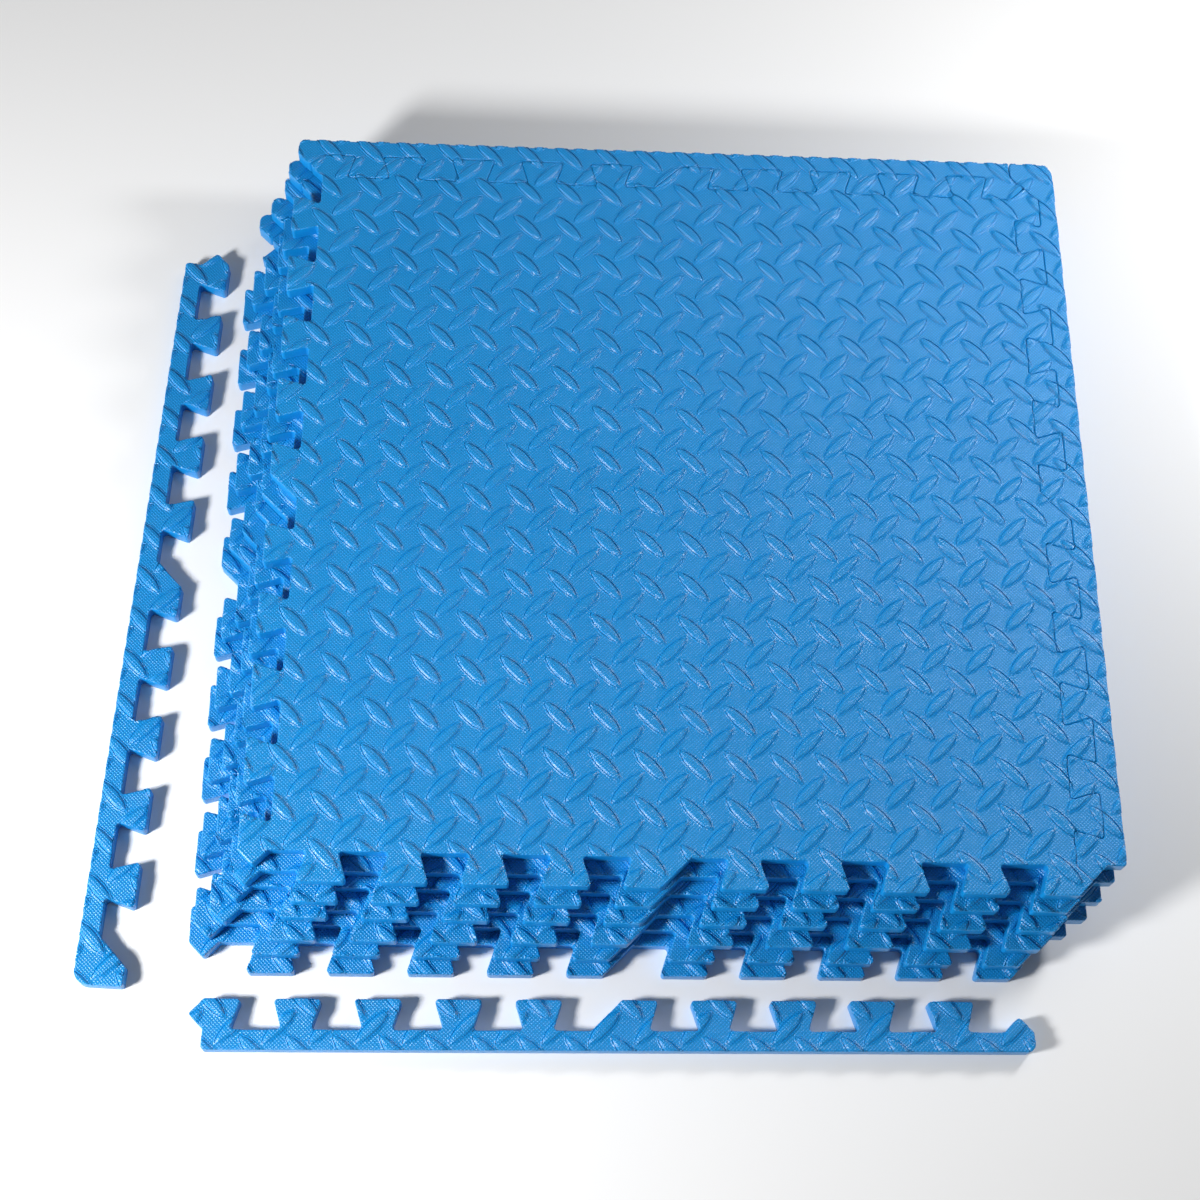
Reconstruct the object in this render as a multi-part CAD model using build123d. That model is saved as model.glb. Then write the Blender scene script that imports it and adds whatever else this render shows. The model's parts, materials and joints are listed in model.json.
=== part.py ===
from build123d import *
from math import floor
import os

# A stack of puzzle-edged foam floor mats with their finishing strips. Millimetres.
# X runs to the right, Y to the back and Z up. The origin is the middle of the lowest mat's underside.
# All four sides of a mat are one side line, turned about the mat's middle. The line is the same when
# it is turned half round about its own middle, so any side of a mat locks into any other.

# ---- A mat ----
MAT_SIDE = 610.0            # from mat to mat on a laid floor, along the middle line of the teeth
MAT_THICKNESS = 12.7
TOOTH_PITCH = 58.65         # from tooth to tooth
TOOTH_DEPTH = 22.5          # from the sockets' back walls to the tips of the teeth
TOOTH_TIP_WIDTH = 36.4      # the wide end of a tooth, which is what locks it in
MIDDLE_TOOTH_PLACE = 49.85  # from the middle of a side to the first whole tooth on its right
CORNER_LAND = 10.0          # least width of socket between a corner's slant and the first tooth
TOOTH_ROUND = 2.6           # radius of the corners along the teeth

# ---- A finishing strip ----
STRIP_WIDTH = 14.5          # the plain band behind the strip's own sockets
FIT_GAP = 0.3               # between a strip and the mat that it locks into
SHORT_STRIP_ROUND = 6.5     # outer corner of a strip that stops at the corner of the mat
CORNER_STRIP_ROUND = 11.0   # outer corner of a strip that carries on round the corner

# ---- How the set lies: right, back and turn (degrees) of each mat, from the lowest up ----
MAT_PLACES = (
    (0.0, 0.0, 0.5),
    (6.6, 8.8, 0.1),
    (18.3, 17.3, 0.25),
    (28.5, 29.5, -0.05),
    (34.4, 39.4, 0.25),
    (41.6, 49.9, 0.0),
)
# The lowest mat's own two strips lie beside it, drawn out of their places along it by this much.
FRONT_STRIP_PLACE = (-8.7, -40.2, 0.7)
LEFT_STRIP_PLACE = (-51.9, -10.8, -2.17)

HALF_SIDE = MAT_SIDE / 2
HALF_DEPTH = TOOTH_DEPTH / 2
TOOTH_NECK_WIDTH = TOOTH_PITCH - TOOTH_TIP_WIDTH


def tooth(middle):
    """One dovetail tooth of a mat, from neck to tip and back, with its middle this far along."""
    return [
        (middle - TOOTH_NECK_WIDTH / 2, HALF_DEPTH),
        (middle - TOOTH_TIP_WIDTH / 2, -HALF_DEPTH),
        (middle + TOOTH_TIP_WIDTH / 2, -HALF_DEPTH),
        (middle + TOOTH_NECK_WIDTH / 2, HALF_DEPTH),
    ]


def side_line():
    """The front side of a mat as points (along, into the mat), from its left corner to its right."""
    nearest = MIDDLE_TOOTH_PLACE + TOOTH_PITCH / 2
    room = HALF_SIDE - nearest - TOOTH_TIP_WIDTH / 2 - HALF_DEPTH - CORNER_LAND
    half = [(0, 0), (HALF_DEPTH, HALF_DEPTH)]
    for n in reversed(range(floor(room / TOOTH_PITCH) + 1)):
        half += tooth(HALF_SIDE - nearest - n * TOOTH_PITCH)
    # The middle tooth has one dovetail flank, and its other flank slants across the side's middle.
    half += [
        (HALF_SIDE - MIDDLE_TOOTH_PLACE + TOOTH_TIP_WIDTH / 2, HALF_DEPTH),
        (HALF_SIDE - MIDDLE_TOOTH_PLACE + TOOTH_NECK_WIDTH / 2, -HALF_DEPTH),
        (HALF_SIDE - HALF_DEPTH, -HALF_DEPTH),
    ]
    return half + [(MAT_SIDE - along, -depth) for along, depth in reversed(half)]


def mat():
    """A whole mat about its own middle, with its underside at zero."""
    front = [(along - HALF_SIDE, depth - HALF_SIDE) for along, depth in side_line()[:-1]]
    right = [(-y, x) for x, y in front]
    back = [(-x, -y) for x, y in front]
    left = [(y, -x) for x, y in front]
    outline = make_face(Polyline(*front, *right, *back, *left, close=True))
    outline = fillet(outline.vertices(), TOOTH_ROUND)
    return extrude(outline, MAT_THICKNESS)


def strip(round_the_corner):
    """A strip in its place along the front of a mat. Its far end either stops at the mat's corner or
    carries on round it, to close the gap up to the next strip."""
    reach = HALF_DEPTH + STRIP_WIDTH + 2 * FIT_GAP
    line = side_line()
    if round_the_corner:
        line[-1] = (MAT_SIDE + HALF_DEPTH, HALF_DEPTH)
        line += [(MAT_SIDE + reach, HALF_DEPTH), (MAT_SIDE + reach, -reach)]
    else:
        line += [(MAT_SIDE + HALF_DEPTH, -HALF_DEPTH), (MAT_SIDE + HALF_DEPTH, -reach)]
    line += [(HALF_DEPTH, -reach), (HALF_DEPTH, -HALF_DEPTH)]
    outline = make_face(Polyline(*line, close=True))
    outline = offset(outline, amount=-FIT_GAP, kind=Kind.INTERSECTION)
    corners = outline.vertices().sort_by(lambda corner: corner.X - corner.Y)
    outline = fillet(corners[:-1], TOOTH_ROUND)
    outer = outline.vertices().sort_by(lambda corner: corner.X - corner.Y)[-1]
    outline = fillet(outer, CORNER_STRIP_ROUND if round_the_corner else SHORT_STRIP_ROUND)
    return Pos(-HALF_SIDE, -HALF_SIDE, 0) * extrude(outline, MAT_THICKNESS)


def laid(piece, place, height):
    """A piece drawn about a mat's middle, moved to where that mat lies."""
    right, back, turn = place
    return Pos(right, back, height) * Rot(0, 0, turn) * piece


whole_mat = mat()
front_strip = strip(round_the_corner=False)
right_strip = Rot(0, 0, 90) * strip(round_the_corner=True)
back_strip = Rot(0, 0, 180) * front_strip
left_strip = Rot(0, 0, 180) * right_strip

pieces = {
    "front_strip_1": laid(front_strip, FRONT_STRIP_PLACE, 0),
    "left_strip_1": laid(left_strip, LEFT_STRIP_PLACE, 0),
}
for number, place in enumerate(MAT_PLACES, start=1):
    height = (number - 1) * MAT_THICKNESS
    pieces[f"mat_{number}"] = laid(whole_mat, place, height)
    if number > 1:
        pieces[f"back_strip_{number}"] = laid(back_strip, place, height)
        pieces[f"right_strip_{number}"] = laid(right_strip, place, height)

os.makedirs("parts", exist_ok=True)
for name, piece in pieces.items():
    export_step(piece, f"parts/{name}.step")
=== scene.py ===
"""Puzzle-edged foam floor mats in a loose stack, with their finishing strips.

Every piece is one closed-cell EVA foam moulding, die-cut round its edge: a slab whose top carries raised
leaves in two directions, over a fine linen emboss. Lengths are metres, worked out from millimetres.
"""

import json
import math
from collections import namedtuple

import bmesh
import bpy
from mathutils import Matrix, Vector


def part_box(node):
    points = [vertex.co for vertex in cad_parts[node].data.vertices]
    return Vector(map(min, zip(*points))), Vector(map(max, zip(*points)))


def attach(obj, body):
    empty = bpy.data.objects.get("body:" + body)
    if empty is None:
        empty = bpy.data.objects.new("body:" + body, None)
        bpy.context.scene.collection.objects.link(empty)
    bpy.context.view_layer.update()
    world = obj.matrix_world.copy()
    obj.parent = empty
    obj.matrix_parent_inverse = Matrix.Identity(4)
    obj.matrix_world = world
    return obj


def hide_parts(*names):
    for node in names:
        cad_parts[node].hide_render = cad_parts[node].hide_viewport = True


MM = 0.001

# ---- A mat and a strip ----
MAT_SIDE = 610.0 * MM            # along the middle line of the teeth
TOOTH_PITCH = 58.65 * MM
TOOTH_DEPTH = 22.5 * MM
TOOTH_TIP_WIDTH = 36.4 * MM
MIDDLE_TOOTH_PLACE = 49.85 * MM  # from a side's middle to the first whole tooth on its right
TEETH_A_HALF_SIDE = 4
TOOTH_ROUND = 2.6 * MM
STRIP_WIDTH = 14.5 * MM
FIT_GAP = 0.3 * MM
SHORT_STRIP_ROUND = 6.5 * MM
CORNER_STRIP_ROUND = 11.0 * MM
HALF_SIDE = MAT_SIDE / 2
HALF_DEPTH = TOOTH_DEPTH / 2
TOOTH_NECK_WIDTH = TOOTH_PITCH - TOOTH_TIP_WIDTH

# ---- Edges: the knife leaves the rims a little round ----
TOP_RIM_ROUND = 1.1 * MM
UNDER_RIM_ROUND = 0.5 * MM
RIM_STEPS = 4
CORNER_STEPS = 6
NEARLY_STRAIGHT = math.radians(89)   # half the angle of a corner too open to be rounded

# ---- The tread: leaves of two directions, each on its own grid, one between the other ----
# From a leaf's foot to its top, millimetres in from its rim and up from the ground: the foam swells in
# a low lip round each leaf, then comes a groove, then the leaf with its rounded shoulder.
LEAF_PROFILE = ((-1.8, -0.5), (-1.8, 0.0), (-0.6, 0.5), (-0.05, 0.0), (1.05, 1.27), (2.1, 1.5))
CRISP_LEVELS = (1, 3)            # the profile's corners that stay sharp: from the ground to the groove
LEAF_LENGTH = 33.0 * MM
LEAF_WIDTH = 9.2 * MM
LEAF_HEIGHT = LEAF_PROFILE[-1][1] * MM
LEAF_TILT = math.radians(46)
LEAF_POINTS = 12
LEAF_BULGE = 1.3                 # 1 is an ellipse, more draws the tips out
TIP_STRETCH = 2.0                # a rim that moves in draws a leaf's tips in this much more
LEAF_COLUMN_PITCH = 33.73 * MM
LEAF_ROW_PITCH = 36.37 * MM
LEAF_COLUMNS = 23
LEAF_ROWS = 23
TOP_MAT_LEAF = (-1.84 * MM, 12.94 * MM)   # one leaf of the top mat, from the mat's middle

# ---- How the set lies: right and back (mm) and turn (degrees) of each mat, from the lowest up ----
MAT_PLACES = (
    (0.0, 0.0, 0.5),
    (6.6, 8.8, 0.1),
    (18.3, 17.3, 0.25),
    (28.5, 29.5, -0.05),
    (34.4, 39.4, 0.25),
    (41.6, 49.9, 0.0),
)
FRONT_STRIP_PLACE = (-8.7, -40.2, 0.7)
LEFT_STRIP_PLACE = (-51.9, -10.8, -2.17)
# Each sheet of foam was cut where its tread happened to lie: shares of the pitches, from the lowest mat
# up. The loose strips were cut as the top mat was.
TREAD_SHIFTS = (
    (0.31, -0.38),
    (-0.26, 0.18),
    (0.12, 0.47),
    (-0.45, -0.17),
    (-0.12, 0.36),
    (0.0, 0.0),
)

# ---- The foam's skin ----
FOAM_BLUE = "#0897E2"
FOAM_BLUE_DEEP = "#068CD6"
BLOTCHES_A_METRE = 14.0
THREAD_PITCH = 2.0 * MM          # the linen grain, a little coarser and deeper than it is, so that it shows
THREAD_DEPTH = 0.32 * MM
THREAD_WANDER = 0.6
THREAD_WANDER_SCALE = 2.0
WAVE_LENGTH = 2 * math.pi / 20   # from one band to the next of a wave texture at a scale of 1
CELLS_A_METRE = 900.0
GRAIN_MEAN = 0.25
GRAIN_FADES = (0.05, 0.35)       # how far up a face looks where the grain starts, and where it is full
GRAIN_PAINTED_SHADE_AND_HIGHLIGHT = (0.8, 1.12)     # painted shade between the threads, and painted highlight on them
SKIN_ROUGHNESS = (0.3, 0.37)
SKIN_IOR = 1.5
SKIN_SPECULAR = 0.65

# ---- Studio ----
LIGHTS_AIM = (0.02, 0.02)
# way to the light from the stack, distance, width of its face, watts
LIGHTS = (
    ("window on the left", (-0.74, -0.46, 0.49), 1.6, 0.3, 29.0),
    ("lamp on the right", (0.80, 0.36, 0.48), 1.15, 0.25, 7.5),
    ("pale wall behind on the right", (0.42, 0.58, 0.70), 1.9, 1.3, 5.0),
)
AIR_STRENGTH = 0.11
WALL_STRENGTH = 0.8
WALL_FADES = (0.16, 0.32)        # sines of the heights where the pale wall ends and the dim air starts
FLOOR_WHITE = "#F6F6F6"
FLOOR_ROUGHNESS = 0.9
FLOOR_SPECULAR = 0.1
FLOOR_REACH = 30.0
# Painted light: how strongly the floor glows far out, though no lamp lights it
FLOOR_PAINTED_GLOW = 0.7
PAINTED_GLOW_STARTS = (1.1, 3.6)         # metres out of the floor's painted glow: none up to the first, all of it from the second
CAMERA_PLACE = (-0.0716, -0.6291, 1.4001)
CAMERA_TURN = (0.4169, -0.0458, 0.0071)
CAMERA_LENS = 56.77              # millimetres, on a sensor of the next line's width
CAMERA_SENSOR = 36.0
CAMERA_NEAREST = 0.05

Kit = namedtuple("Kit", "tread_tree leaf foam thickness")


# ------------------------------------------------------------------ outlines

def tooth(middle):
    """One dovetail tooth, from neck to tip and back."""
    return [
        (middle - TOOTH_NECK_WIDTH / 2, HALF_DEPTH),
        (middle - TOOTH_TIP_WIDTH / 2, -HALF_DEPTH),
        (middle + TOOTH_TIP_WIDTH / 2, -HALF_DEPTH),
        (middle + TOOTH_NECK_WIDTH / 2, HALF_DEPTH),
    ]


def side_line():
    """A mat's front side as (along, into the mat), from its left corner to its right."""
    nearest = MIDDLE_TOOTH_PLACE + TOOTH_PITCH / 2
    half = [(0.0, 0.0), (HALF_DEPTH, HALF_DEPTH)]
    for n in reversed(range(TEETH_A_HALF_SIDE)):
        half += tooth(HALF_SIDE - nearest - n * TOOTH_PITCH)
    half += [
        (HALF_SIDE - MIDDLE_TOOTH_PLACE + TOOTH_TIP_WIDTH / 2, HALF_DEPTH),
        (HALF_SIDE - MIDDLE_TOOTH_PLACE + TOOTH_NECK_WIDTH / 2, -HALF_DEPTH),
        (HALF_SIDE - HALF_DEPTH, -HALF_DEPTH),
    ]
    return half + [(MAT_SIDE - along, -depth) for along, depth in reversed(half)]


def quarter_turned(corners, times):
    """Corners (x, y, radius) turned about the mat's middle."""
    for _ in range(times):
        corners = [(-y, x, radius) for x, y, radius in corners]
    return corners


def about_middle(line, radius):
    """Points of a front side as corners about the mat's middle, all of one radius."""
    return [(along - HALF_SIDE, depth - HALF_SIDE, radius) for along, depth in line]


def mat_corners():
    """A mat's four sides, each the front side turned."""
    front = about_middle(side_line()[:-1], TOOTH_ROUND)
    return [corner for turns in range(4) for corner in quarter_turned(front, turns)]


def strip_corners(round_the_corner, turns):
    """A strip in its place along one side of a mat, whose far end may carry on round the corner."""
    reach = HALF_DEPTH + STRIP_WIDTH + 2 * FIT_GAP
    line = side_line()
    if round_the_corner:
        line[-1] = (MAT_SIDE + HALF_DEPTH, HALF_DEPTH)
        line += [(MAT_SIDE + reach, HALF_DEPTH)]
        outer = (MAT_SIDE + reach, -reach)
    else:
        line += [(MAT_SIDE + HALF_DEPTH, -HALF_DEPTH)]
        outer = (MAT_SIDE + HALF_DEPTH, -reach)
    corners = about_middle(line, TOOTH_ROUND)
    corners += about_middle([outer], CORNER_STRIP_ROUND if round_the_corner else SHORT_STRIP_ROUND)
    corners += about_middle([(HALF_DEPTH, -reach), (HALF_DEPTH, -HALF_DEPTH)], TOOTH_ROUND)
    # The mat is below the line of its own side here, so the strip's corners run clockwise.
    return drawn_in(quarter_turned(corners, turns)[::-1], FIT_GAP)


def drawn_in(corners, by):
    """An anticlockwise outline moved in all round, its corners kept sharp."""
    moved = []
    for n, (x, y, radius) in enumerate(corners):
        before = Vector((x - corners[n - 1][0], y - corners[n - 1][1])).normalized()
        following = corners[(n + 1) % len(corners)]
        after = Vector((following[0] - x, following[1] - y)).normalized()
        stretch = by / (1 + before.dot(after))
        moved.append((
            x - stretch * (before.y + after.y),
            y + stretch * (before.x + after.x),
            radius,
        ))
    return moved


def rounded(corners):
    """The outline's points, with every corner an arc of its own radius."""
    points = []
    for n, (x, y, radius) in enumerate(corners):
        here = Vector((x, y))
        before = (Vector(corners[n - 1][:2]) - here).normalized()
        after = (Vector(corners[(n + 1) % len(corners)][:2]) - here).normalized()
        half_angle = before.angle(after) / 2
        if half_angle > NEARLY_STRAIGHT:
            points.append(here)
            continue
        middle = here + (before + after).normalized() * radius / math.sin(half_angle)
        start = here + before * radius / math.tan(half_angle) - middle
        end = here + after * radius / math.tan(half_angle) - middle
        sweep = start.angle_signed(end)
        for step in range(CORNER_STEPS + 1):
            turn = -sweep * step / CORNER_STEPS
            c, s = math.cos(turn), math.sin(turn)
            points.append(middle + Vector((c * start.x - s * start.y, s * start.x + c * start.y)))
    return points


# ------------------------------------------------------------------ slabs and leaves

def stacked(name, rings):
    """A closed mesh of level rings, the lowest first: its two ends, then the bands between the rings."""
    count = len(rings[0])
    vertices = [vertex for ring in rings for vertex in ring]
    faces = [tuple(reversed(range(count))), tuple(range(len(vertices) - count, len(vertices)))]
    for ring in range(len(rings) - 1):
        low, high = ring * count, (ring + 1) * count
        for n in range(count):
            following = (n + 1) % count
            faces.append((low + n, low + following, high + following, high + n))
    mesh = bpy.data.meshes.new(name)
    mesh.from_pydata(vertices, [], faces)
    return mesh


def slab(name, outline, bottom, top):
    """A die-cut slab with slightly rounded rims."""
    levels = [(bottom, UNDER_RIM_ROUND)]
    for step in range(1, RIM_STEPS + 1):
        angle = math.pi / 2 * step / RIM_STEPS
        levels.append((
            bottom + UNDER_RIM_ROUND * (1 - math.cos(angle)),
            UNDER_RIM_ROUND * (1 - math.sin(angle)),
        ))
    for step in range(RIM_STEPS + 1):
        angle = math.pi / 2 * step / RIM_STEPS
        levels.append((
            top - TOP_RIM_ROUND * (1 - math.sin(angle)),
            TOP_RIM_ROUND * (1 - math.cos(angle)),
        ))
    corners = [(point.x, point.y, 0.0) for point in outline]
    mesh = stacked(name, [[(x, y, z) for x, y, _ in drawn_in(corners, inset)] for z, inset in levels])
    walls = len(mesh.polygons) - 2
    mesh.polygons.foreach_set("use_smooth", [False, False] + [True] * walls)
    mesh.update()
    return mesh


def leaf_ring(inset, height):
    """One level line of a leaf: a long lens, drawn in from its rim."""
    length = LEAF_LENGTH / 2 - inset * (TIP_STRETCH if inset > 0 else 1)
    width = LEAF_WIDTH / 2 - inset
    ring = []
    for n in range(LEAF_POINTS):
        angle = 2 * math.pi * n / LEAF_POINTS
        swell = math.copysign(abs(math.sin(angle)) ** LEAF_BULGE, math.sin(angle))
        ring.append((length * math.cos(angle), width * swell, height))
    return ring


def leaf():
    """One raised leaf, lying along X, with its foot under the slab's top."""
    mesh = stacked("leaf", [leaf_ring(inset * MM, height * MM) for inset, height in LEAF_PROFILE])
    mesh.polygons.foreach_set("use_smooth", [False] + [True] * (len(mesh.polygons) - 1))
    mesh.update()
    first_crisp, last_crisp = CRISP_LEVELS
    for edge in mesh.edges:
        level, other_level = (vertex // LEAF_POINTS for vertex in edge.vertices)
        edge.use_edge_sharp = level == other_level and first_crisp <= level <= last_crisp
    return bpy.data.objects.new("leaf", mesh)


def node_adder(tree):
    """Gives the one function that adds a node to a tree, with its settings and what feeds it."""

    def add(kind, feeds=(), **settings):
        node = tree.nodes.new(kind)
        for key, value in settings.items():
            setattr(node, key, value)
        for socket, source in feeds:
            if isinstance(source, bpy.types.NodeSocket):
                tree.links.new(source, node.inputs[socket])
            else:
                node.inputs[socket].default_value = source
        return node

    return add


def tread_tree():
    """The tread: two grids of leaves, turned either way, one grid between the other."""
    tree = bpy.data.node_groups.new("leaf tread", "GeometryNodeTree")
    face = tree.interface
    for name, kind in (("Geometry", "Geometry"), ("Leaf", "Object"), ("Foam", "Material")):
        face.new_socket(name, in_out="INPUT", socket_type="NodeSocket" + kind)
    for name, kind, value in (
        ("Columns", "Int", LEAF_COLUMNS),
        ("Rows", "Int", LEAF_ROWS),
        ("Column Pitch", "Float", LEAF_COLUMN_PITCH),
        ("Row Pitch", "Float", LEAF_ROW_PITCH),
        ("Tilt", "Float", LEAF_TILT),
    ):
        face.new_socket(name, in_out="INPUT", socket_type="NodeSocket" + kind).default_value = value
    face.new_socket("First Leaf", in_out="INPUT", socket_type="NodeSocketVector")
    face.new_socket("Geometry", in_out="OUTPUT", socket_type="NodeSocketGeometry")
    add = node_adder(tree)
    given = add("NodeGroupInput").outputs

    def span(pitch, count):
        gaps = add("ShaderNodeMath", ((0, given[count]), (1, 1.0)), operation="SUBTRACT")
        return add("ShaderNodeMath", ((0, given[pitch]), (1, gaps.outputs[0])), operation="MULTIPLY")

    grid = add("GeometryNodeMeshGrid", (
        ("Size X", span("Column Pitch", "Columns").outputs[0]),
        ("Size Y", span("Row Pitch", "Rows").outputs[0]),
        ("Vertices X", given["Columns"]),
        ("Vertices Y", given["Rows"]),
    ))
    shape = add("GeometryNodeObjectInfo", (("Object", given["Leaf"]),), transform_space="ORIGINAL")
    step = add("ShaderNodeCombineXYZ", ((0, given["Column Pitch"]), (1, given["Row Pitch"])))
    half_step = add("ShaderNodeVectorMath", ((0, step.outputs[0]), ("Scale", 0.5)), operation="SCALE")
    between = add("ShaderNodeVectorMath", (
        (0, given["First Leaf"]),
        (1, half_step.outputs[0]),
    ), operation="ADD")
    both = add("GeometryNodeJoinGeometry")
    for place, sense in ((given["First Leaf"], 1.0), (between.outputs[0], -1.0)):
        moved = add("GeometryNodeTransform", (("Geometry", grid.outputs["Mesh"]), ("Translation", place)))
        angle = add("ShaderNodeMath", ((0, given["Tilt"]), (1, sense)), operation="MULTIPLY")
        turn = add("ShaderNodeCombineXYZ", ((2, angle.outputs[0]),))
        leaves = add("GeometryNodeInstanceOnPoints", (
            ("Points", moved.outputs["Geometry"]),
            ("Instance", shape.outputs["Geometry"]),
            ("Rotation", turn.outputs[0]),
        ))
        tree.links.new(leaves.outputs["Instances"], both.inputs["Geometry"])
    real = add("GeometryNodeRealizeInstances", (("Geometry", both.outputs["Geometry"]),))
    painted = add("GeometryNodeSetMaterial", (
        ("Geometry", real.outputs["Geometry"]),
        ("Material", given["Foam"]),
    ))
    add("NodeGroupOutput", (("Geometry", painted.outputs["Geometry"]),))
    return tree


def plain_mesh(piece):
    """What a piece's modifiers make of it, as a mesh with none."""
    view = bpy.context.evaluated_depsgraph_get()
    view.update()
    return bpy.data.meshes.new_from_object(piece.evaluated_get(view))


def tread(kit, whole_slab, first_leaf):
    """All the leaves of one piece, cut off along its edge."""
    leaves = bpy.data.objects.new("leaves", bpy.data.meshes.new("leaves"))
    bpy.context.scene.collection.objects.link(leaves)
    maker = leaves.modifiers.new("tread", "NODES")
    maker.node_group = kit.tread_tree
    sockets = kit.tread_tree.interface.items_tree
    given = {socket.name: socket.identifier for socket in sockets if socket.in_out == "INPUT"}
    maker[given["Leaf"]] = kit.leaf
    maker[given["Foam"]] = kit.foam
    maker[given["First Leaf"]] = first_leaf
    leaves_mesh = plain_mesh(leaves)
    leaves.modifiers.clear()
    leaves.data = leaves_mesh
    knife = bpy.data.objects.new("knife", whole_slab)
    bpy.context.scene.collection.objects.link(knife)
    cut = leaves.modifiers.new("cut", "BOOLEAN")
    cut.operation = "INTERSECT"
    cut.solver = "MANIFOLD"
    cut.object = knife
    trimmed = plain_mesh(leaves)
    bpy.data.objects.remove(leaves)
    bpy.data.objects.remove(knife)
    return trimmed


# ------------------------------------------------------------------ foam

def linear(hex_colour):
    """A colour as painters write it, as the light that it sends back."""
    shares = [int(hex_colour[n:n + 2], 16) / 255 for n in (1, 3, 5)]
    return [s / 12.92 if s <= 0.04045 else ((s + 0.055) / 1.055) ** 2.4 for s in shares] + [1.0]


def eva_foam():
    """Closed-cell EVA foam, moulded under a linen-grained plate: a bright, even blue with a soft, slightly
    waxy shine, broken up by a thread-fine grain. The cut walls have the foam's fine cells and no grain."""
    foam = bpy.data.materials.new("blue EVA foam")
    foam.use_nodes = True
    foam.node_tree.nodes.clear()
    add = node_adder(foam.node_tree)
    place = add("ShaderNodeTexCoord").outputs["Object"]

    def threads(turn):
        """Embossed threads, running one way."""
        turned = add("ShaderNodeMapping", (("Vector", place), ("Rotation", (0, 0, turn))))
        return add("ShaderNodeTexWave", (
            ("Vector", turned.outputs[0]),
            ("Scale", WAVE_LENGTH / THREAD_PITCH),
            ("Distortion", THREAD_WANDER),
            ("Detail", 1.0),
            ("Detail Scale", THREAD_WANDER_SCALE),
        ), wave_type="BANDS", bands_direction="X", wave_profile="SIN").outputs["Fac"]

    def noise(a_metre, detail):
        feeds = (("Vector", place), ("Scale", a_metre), ("Detail", detail))
        return add("ShaderNodeTexNoise", feeds).outputs["Fac"]

    warp = threads(math.radians(45))
    weft = threads(math.radians(-45))
    woven = add("ShaderNodeMath", ((0, warp), (1, weft)), operation="MULTIPLY").outputs[0]
    # Only the moulded top is embossed. The walls lie at the grain's mean height.
    facing = add("ShaderNodeNewGeometry").outputs["True Normal"]
    upward = add("ShaderNodeSeparateXYZ", (("Vector", facing),)).outputs["Z"]
    grain_starts, grain_full = GRAIN_FADES
    moulded = add("ShaderNodeMapRange", (
        ("Value", upward), ("From Min", grain_starts), ("From Max", grain_full),
    )).outputs[0]
    linen = add("ShaderNodeMix", (("Factor", moulded), ("A", GRAIN_MEAN), ("B", woven))).outputs[0]
    cells = noise(CELLS_A_METRE, 2.0)
    blotches = noise(BLOTCHES_A_METRE, 3.0)
    relief = add("ShaderNodeMath", ((0, linen), (1, cells)), operation="ADD").outputs[0]
    bumps = add("ShaderNodeBump", (("Strength", 1.0), ("Distance", THREAD_DEPTH), ("Height", relief)))
    # A colour mix has its factor on socket 0, its two colours on 6 and 7 and its result on 2.
    tone = add("ShaderNodeMix", (
        (0, blotches), (6, linear(FOAM_BLUE_DEEP)), (7, linear(FOAM_BLUE)),
    ), data_type="RGBA").outputs[2]
    # Painted shade and highlight: the tone darkens between the threads and lightens on them, by the grain's
    # height.
    painted_shade_between_threads, painted_highlight_on_threads = GRAIN_PAINTED_SHADE_AND_HIGHLIGHT
    grain_painted_light = add("ShaderNodeMapRange", (("Value", linen), ("To Min", painted_shade_between_threads), ("To Max", painted_highlight_on_threads)))
    tone_with_painted_grain_light = add("ShaderNodeVectorMath", ((0, tone), ("Scale", grain_painted_light.outputs[0])), operation="SCALE")
    smoothest, roughest = SKIN_ROUGHNESS
    rough = add("ShaderNodeMapRange", (("Value", blotches), ("To Min", smoothest), ("To Max", roughest)))
    skin = add("ShaderNodeBsdfPrincipled", (
        ("Base Color", tone_with_painted_grain_light.outputs[0]),
        ("Roughness", rough.outputs[0]),
        ("IOR", SKIN_IOR),
        ("Specular IOR Level", SKIN_SPECULAR),
        ("Normal", bumps.outputs[0]),
    ))
    add("ShaderNodeOutputMaterial", (("Surface", skin.outputs[0]),))
    return foam


# ------------------------------------------------------------------ pieces

def laid(mesh, place, height):
    """Turns a piece drawn about a mat's middle, and moves it to where that mat lies."""
    right, back, turn = place
    c, s = math.cos(math.radians(turn)), math.sin(math.radians(turn))
    for vertex in mesh.vertices:
        x, y, z = vertex.co
        vertex.co = (c * x - s * y + right * MM, s * x + c * y + back * MM, z + height)
    mesh.update()


def merged(ground, leaves):
    """Two meshes as one, in the first one's place."""
    both = bmesh.new()
    both.from_mesh(ground)
    both.from_mesh(leaves)
    both.to_mesh(ground)
    both.free()
    for polygon in ground.polygons:
        polygon.material_index = 0
    return ground


def foam_piece(node, body, corners, place, height, first_leaf, kit):
    """One finished mat or strip: its slab and its leaves in one mesh, in place of the plain solid."""
    ground_level = kit.thickness - LEAF_HEIGHT
    outline = rounded(corners)
    ground = slab(node + "_foam", outline, 0.0, ground_level)
    whole = slab("knife", outline, 0.0, kit.thickness)
    leaves = tread(kit, whole, (*first_leaf, ground_level))
    piece = bpy.data.objects.new(node + "_foam", merged(ground, leaves))
    bpy.context.scene.collection.objects.link(piece)
    piece.data.materials.clear()
    piece.data.materials.append(kit.foam)
    laid(piece.data, place, height)
    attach(piece, body)
    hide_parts(node)
    "foam_strip" if "strip" in node else "foam_mat"


def shifted(first_leaf, shift):
    """The tread's first leaf, moved by a share of the pitches."""
    return (
        first_leaf[0] + shift[0] * LEAF_COLUMN_PITCH,
        first_leaf[1] + shift[1] * LEAF_ROW_PITCH,
    )


# ------------------------------------------------------------------ studio

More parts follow.
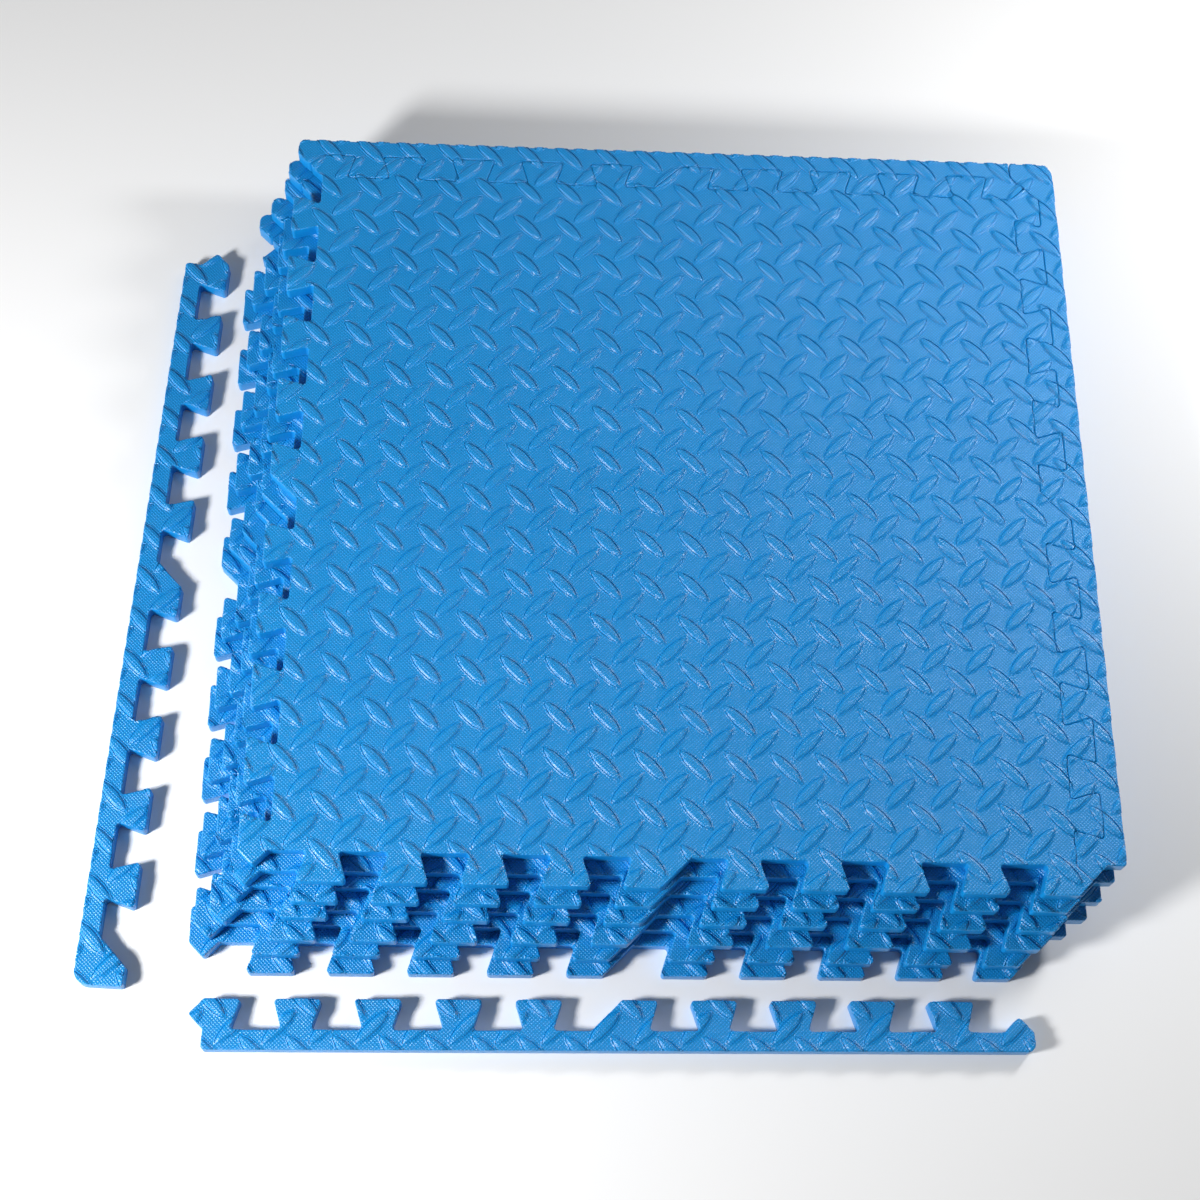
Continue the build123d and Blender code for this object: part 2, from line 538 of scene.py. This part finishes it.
def floor_paint():
    """Matt white floor paint that glows a little far out, a painted light, so that it stays pale where the
    lamps fade.
    """
    paint = bpy.data.materials.new("matt white floor paint")
    paint.use_nodes = True
    paint.node_tree.nodes.clear()
    add = node_adder(paint.node_tree)
    place = add("ShaderNodeTexCoord").outputs["Object"]
    away = add("ShaderNodeVectorMath", ((0, place),), operation="LENGTH").outputs["Value"]
    near, far = PAINTED_GLOW_STARTS
    # Painted light: the floor glows more the farther out it lies, though no lamp lights it.
    painted_glow = add("ShaderNodeMapRange", (
        ("Value", away), ("From Min", near), ("From Max", far), ("To Max", FLOOR_PAINTED_GLOW),
    ))
    surface = add("ShaderNodeBsdfPrincipled", (
        ("Base Color", linear(FLOOR_WHITE)),
        ("Roughness", FLOOR_ROUGHNESS),
        ("Specular IOR Level", FLOOR_SPECULAR),
        ("Emission Color", linear(FLOOR_WHITE)),
        ("Emission Strength", painted_glow.outputs[0]),
    ))
    add("ShaderNodeOutputMaterial", (("Surface", surface.outputs[0]),))
    return paint


def studio_air():
    """Dim air overhead, for the lamps to model the tread, and a pale wall all round near the horizon."""
    world = bpy.data.worlds.new("studio air")
    world.use_nodes = True
    world.node_tree.nodes.clear()
    add = node_adder(world.node_tree)
    way = add("ShaderNodeTexCoord").outputs["Generated"]
    height = add("ShaderNodeSeparateXYZ", (("Vector", way),)).outputs["Z"]
    wall_top, air_starts = WALL_FADES
    strength = add("ShaderNodeMapRange", (
        ("Value", height), ("From Min", wall_top), ("From Max", air_starts),
        ("To Min", WALL_STRENGTH), ("To Max", AIR_STRENGTH),
    ))
    air = add("ShaderNodeBackground", (("Strength", strength.outputs[0]),))
    add("ShaderNodeOutputWorld", (("Surface", air.outputs[0]),))
    return world


def studio(stack_top):
    """A pale floor, soft lights and the camera."""
    floor_mesh = bpy.data.meshes.new("floor")
    corners = [(FLOOR_REACH * x, FLOOR_REACH * y, 0) for x, y in ((-1, -1), (1, -1), (1, 1), (-1, 1))]
    floor_mesh.from_pydata(corners, [], [(0, 1, 2, 3)])
    floor = bpy.data.objects.new("floor", floor_mesh)
    bpy.context.scene.collection.objects.link(floor)
    floor.data.materials.append(floor_paint())

    aim = Vector((*LIGHTS_AIM, stack_top))
    for name, way, away, size, power in LIGHTS:
        lamp = bpy.data.lights.new(name, "AREA")
        lamp.shape = "DISK"
        lamp.size = size
        lamp.energy = power
        stand = bpy.data.objects.new(name, lamp)
        stand.location = aim + Vector(way).normalized() * away
        stand.rotation_euler = Vector(way).to_track_quat("Z", "Y").to_euler()
        bpy.context.scene.collection.objects.link(stand)

    bpy.context.scene.world = studio_air()
    bpy.context.scene.view_settings.view_transform = "Standard"

    lens = bpy.data.cameras.new("camera")
    lens.sensor_width = CAMERA_SENSOR
    lens.lens = CAMERA_LENS
    lens.clip_start = CAMERA_NEAREST
    camera = bpy.data.objects.new("camera", lens)
    camera.location = CAMERA_PLACE
    camera.rotation_euler = CAMERA_TURN
    bpy.context.scene.collection.objects.link(camera)
    bpy.context.scene.camera = camera


# ------------------------------------------------------------------ the set

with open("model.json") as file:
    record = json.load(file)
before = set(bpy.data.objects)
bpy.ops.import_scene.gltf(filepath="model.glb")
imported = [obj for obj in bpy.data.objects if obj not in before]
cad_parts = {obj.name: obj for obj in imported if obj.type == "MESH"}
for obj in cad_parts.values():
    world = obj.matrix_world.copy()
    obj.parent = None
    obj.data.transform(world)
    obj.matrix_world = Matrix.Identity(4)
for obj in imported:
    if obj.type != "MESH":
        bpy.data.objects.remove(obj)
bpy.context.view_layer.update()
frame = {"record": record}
body_of = {node: body for body, nodes in frame["record"]["behaviour"]["bodies"].items() for node in nodes}
low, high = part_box("mat_6")
kit = Kit(tread_tree(), leaf(), eva_foam(), thickness=high.z - low.z)

back_strip = strip_corners(round_the_corner=False, turns=2)
right_strip = strip_corners(round_the_corner=True, turns=1)
for number, place in enumerate(MAT_PLACES, start=1):
    height = (number - 1) * kit.thickness
    first_leaf = shifted(TOP_MAT_LEAF, TREAD_SHIFTS[number - 1])
    pieces = {f"mat_{number}": mat_corners()}
    if number > 1:
        pieces[f"back_strip_{number}"] = back_strip
        pieces[f"right_strip_{number}"] = right_strip
    for node, corners in pieces.items():
        foam_piece(node, body_of[node], corners, place, height, first_leaf, kit)

for node, corners, place in (
    ("front_strip_1", strip_corners(round_the_corner=False, turns=0), FRONT_STRIP_PLACE),
    ("left_strip_1", strip_corners(round_the_corner=True, turns=3), LEFT_STRIP_PLACE),
):
    foam_piece(node, body_of[node], corners, place, 0.0, TOP_MAT_LEAF, kit)

studio(high.z)
